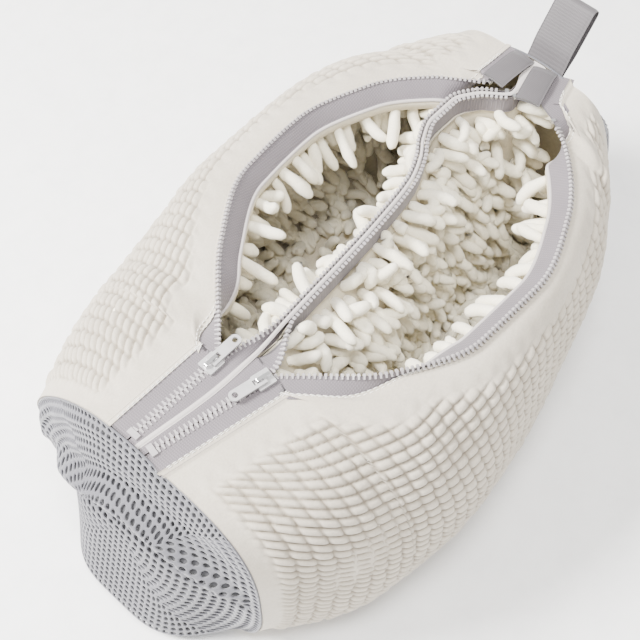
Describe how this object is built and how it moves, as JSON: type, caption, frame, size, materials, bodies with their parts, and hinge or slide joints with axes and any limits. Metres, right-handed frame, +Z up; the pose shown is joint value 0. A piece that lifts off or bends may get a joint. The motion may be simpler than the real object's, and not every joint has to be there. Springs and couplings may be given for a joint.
{
  "type": "shoe bag",
  "caption": "Soft chenille-lined shoe washing bag with two zipped compartments, mesh end panels and a webbing hanging loop.",
  "frame": {"origin": "on the floor under the middle of the bag, under the foot of the divider", "axes": "+X along the bag from the near mesh end to the hanging loop, +Y to the left compartment, +Z up"},
  "size_m": [0.432, 0.274, 0.2056],
  "materials": {
    "quilted_cloth": "quilted knit backing cloth",
    "chenille": "chenille pile",
    "zip_tape": "woven tape",
    "zip_teeth": "moulded, satin",
    "stop_metal": "satin",
    "webbing": "flat woven webbing",
    "air_mesh": "open warp-knit air mesh",
    "bias_cloth": "plain woven cloth",
    "slider_enamel": "pale enamel",
    "slider_bright": "bright",
    "pull_enamel": "pale enamel"
  },
  "bodies": {
    "bag": {"left_body_panel": "quilted_cloth", "right_body_panel": "quilted_cloth", "left_wall_noodles": "chenille", "right_wall_noodles": "chenille", "divider_left_layer": "quilted_cloth", "divider_right_layer": "quilted_cloth", "divider_left_noodles": "chenille", "divider_right_noodles": "chenille", "left_outer_tape": "zip_tape", "left_inner_tape": "zip_tape", "right_outer_tape": "zip_tape", "right_inner_tape": "zip_tape", "left_outer_teeth": "zip_teeth", "left_inner_teeth": "zip_teeth", "right_outer_teeth": "zip_teeth", "right_inner_teeth": "zip_teeth", "left_mouth_binding": "bias_cloth", "right_mouth_binding": "bias_cloth", "left_bottom_stop": "zip_teeth", "right_bottom_stop": "zip_teeth", "left_top_stops": "stop_metal", "right_top_stops": "stop_metal", "left_end_tab": "webbing", "right_end_tab": "webbing", "centre_piping": "bias_cloth", "near_end_mesh": "air_mesh", "far_end_mesh": "air_mesh", "near_rim_binding": "bias_cloth", "far_rim_binding": "bias_cloth"},
    "left_slider": {"left_slider_body": "slider_enamel", "left_slider_cap": "slider_bright"},
    "left_pull": {"left_pull_tab": "pull_enamel"},
    "right_slider": {"right_slider_body": "slider_enamel", "right_slider_cap": "slider_bright"},
    "right_pull": {"right_pull_tab": "pull_enamel"},
    "loop": {"hanging_loop": "webbing"}
  },
  "joints": [
    {"name": "left_slider_slide", "type": "slide", "parent": "bag", "child": "left_slider", "axis": [1, 0, 0], "range_m": [-0.048, 0]},
    {"name": "right_slider_slide", "type": "slide", "parent": "bag", "child": "right_slider", "axis": [0.9806, -0.1961, 0], "range_m": [-0.06, 0]},
    {"name": "left_pull_hinge", "type": "hinge", "parent": "left_slider", "child": "left_pull", "pos_m": [-0.113, 0.009, 0.17065], "axis": [0, -1, 0], "range_deg": [0, 170]},
    {"name": "right_pull_hinge", "type": "hinge", "parent": "right_slider", "child": "right_pull", "pos_m": [-0.101, -0.019, 0.17065], "axis": [0.1961, 0.9806, 0], "range_deg": [0, 170]},
    {"name": "loop_flex", "type": "hinge", "parent": "bag", "child": "loop", "pos_m": [0.1903, 0.009, 0.17], "axis": [0, 1, 0], "range_deg": [-26, 40], "stiffness_Nm_per_rad": 0.05}
  ]
}
